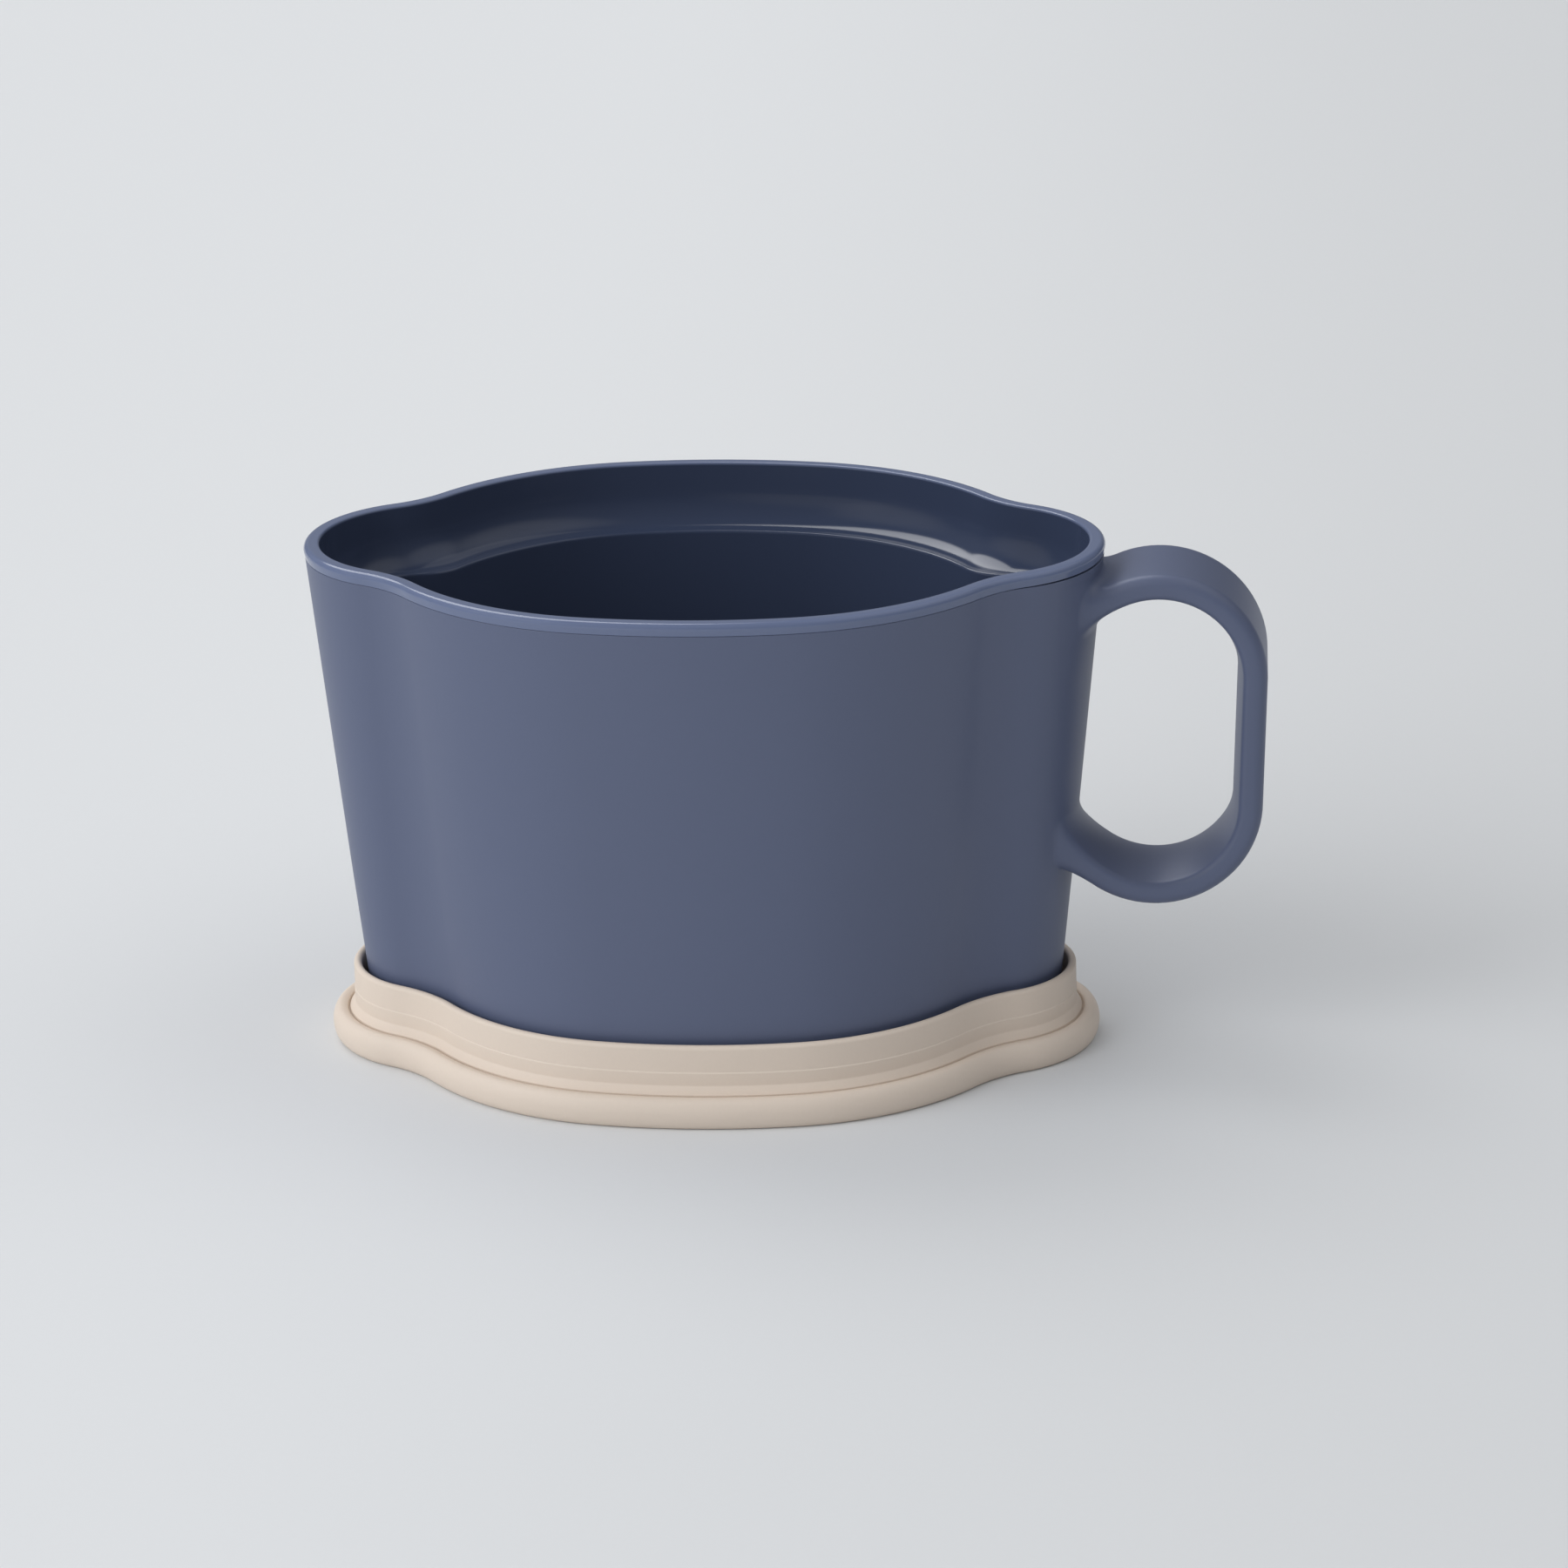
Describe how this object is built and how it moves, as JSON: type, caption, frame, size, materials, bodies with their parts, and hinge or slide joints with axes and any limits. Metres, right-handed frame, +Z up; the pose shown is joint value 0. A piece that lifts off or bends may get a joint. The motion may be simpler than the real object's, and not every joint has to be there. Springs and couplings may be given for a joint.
{
  "type": "soup mug",
  "caption": "Lobed two-wall plastic soup mug with a strap handle and an inner ledge, standing in its own plug lid turned over as a stand.",
  "frame": {"origin": "on the table under the middle of the mug, at the lid's flat face", "axes": "+X along the mug's length towards the handle, +Z up through the mug's mouth"},
  "size_m": [0.1682, 0.0952, 0.0925],
  "materials": {
    "shell": "satin",
    "liner": "gloss",
    "lid": "matte"
  },
  "bodies": {
    "stand": {"lid": "lid"},
    "mug": {"outer_shell": "shell", "liner": "liner"}
  },
  "joints": [
    {"name": "lift_out", "type": "slide", "parent": "stand", "child": "mug", "axis": [0, 0, 1], "range_m": [0, 0.06]}
  ]
}
